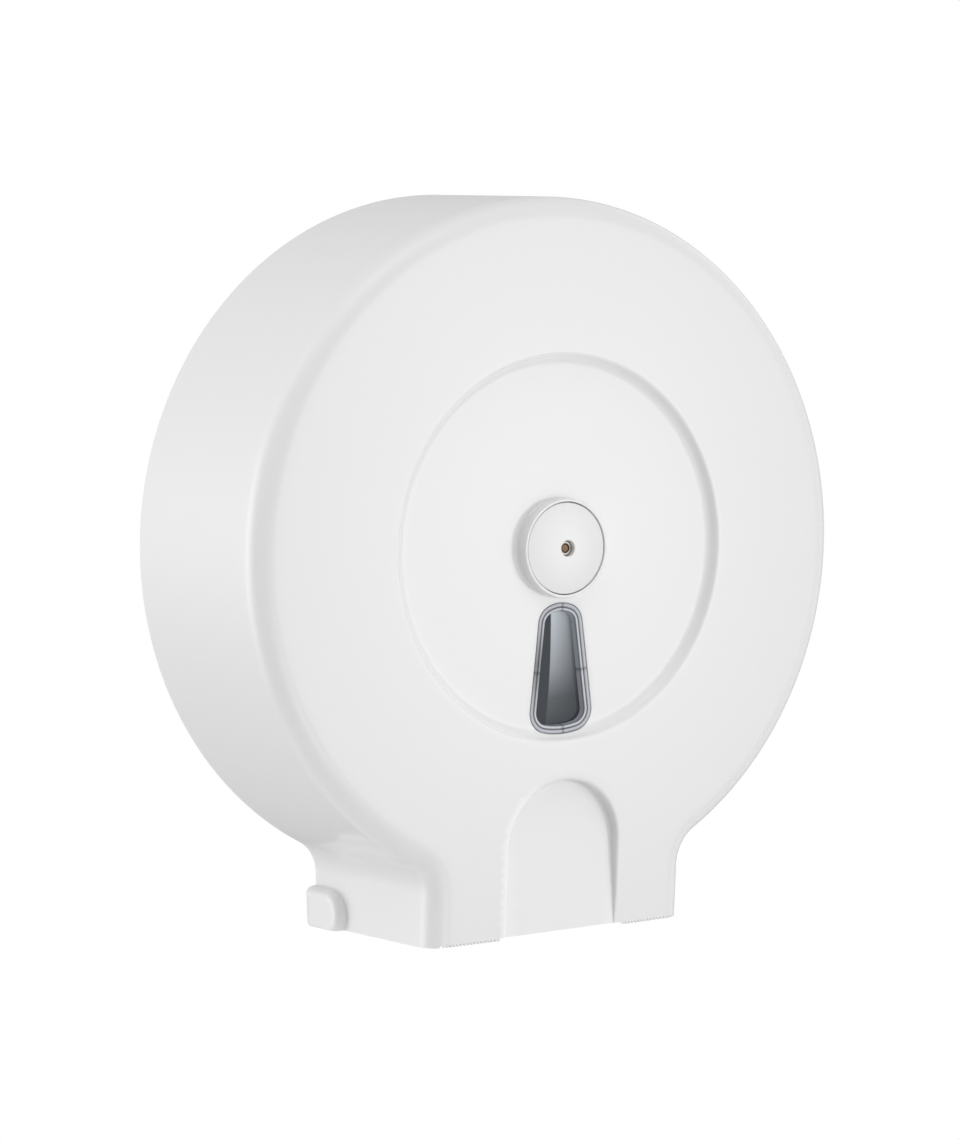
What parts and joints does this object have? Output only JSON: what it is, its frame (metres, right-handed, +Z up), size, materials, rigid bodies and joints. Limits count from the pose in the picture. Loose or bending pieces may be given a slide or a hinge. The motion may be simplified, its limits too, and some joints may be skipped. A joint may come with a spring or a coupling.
{
  "type": "jumbo toilet roll dispenser",
  "caption": "Wall-mounted round dispenser for a jumbo toilet roll: hinged domed cover with a lock and inspection window over a turning roll hub, and toothed foot for tearing.",
  "frame": {"origin": "on the spindle axis where it meets the wall, the centre of the four wall holes", "axes": "+Z up, the front faces -Y, +Y into the wall, +X to the right seen from the front"},
  "size_m": [0.345, 0.1226, 0.3655],
  "materials": {
    "white_abs": "glossy white moulded plastic",
    "white_abs_inner": "satin white moulded plastic",
    "grey_abs": "matt grey moulded plastic",
    "acetal": "natural low-friction plastic",
    "felt_black": "pressed felt",
    "smoked_clear": "smoked clear plastic, polished",
    "brass": "turned brass, slightly dull",
    "dark_steel": "blackened steel",
    "stainless": "brushed stainless steel",
    "zinc_steel": "bright zinc-plated steel"
  },
  "bodies": {
    "back": {"back_plate": "white_abs_inner", "spindle_post": "grey_abs", "spindle_screws": "zinc_steel", "brake_washer": "felt_black", "lock_strike": "grey_abs", "strike_screw": "zinc_steel", "hinge_pins": "stainless"},
    "hub": {"roll_hub": "white_abs_inner", "hub_bush_rear": "acetal", "hub_bush_front": "acetal", "core_adapter": "grey_abs"},
    "cover": {"front_cover": "white_abs", "inspection_window": "smoked_clear", "window_clips": "stainless", "lock_collar": "white_abs", "lock_nut": "grey_abs"},
    "lock": {"lock_cap": "white_abs", "key_post": "brass", "key_sleeve": "dark_steel", "rotor_clip": "stainless", "lock_bolt": "stainless", "bolt_screw": "zinc_steel"}
  },
  "joints": [
    {"name": "cover_hinge", "type": "hinge", "parent": "back", "child": "cover", "pos_m": [0, -0.018, -0.185], "axis": [1, 0, 0], "range_deg": [0, 90]},
    {"name": "lock_turn", "type": "hinge", "parent": "cover", "child": "lock", "pos_m": [0, -0.11, 0], "axis": [0, 1, 0], "range_deg": [0, 90]},
    {"name": "hub_spin", "type": "hinge", "parent": "back", "child": "hub", "pos_m": [0, -0.05, 0], "axis": [0, 1, 0], "continuous": true}
  ]
}
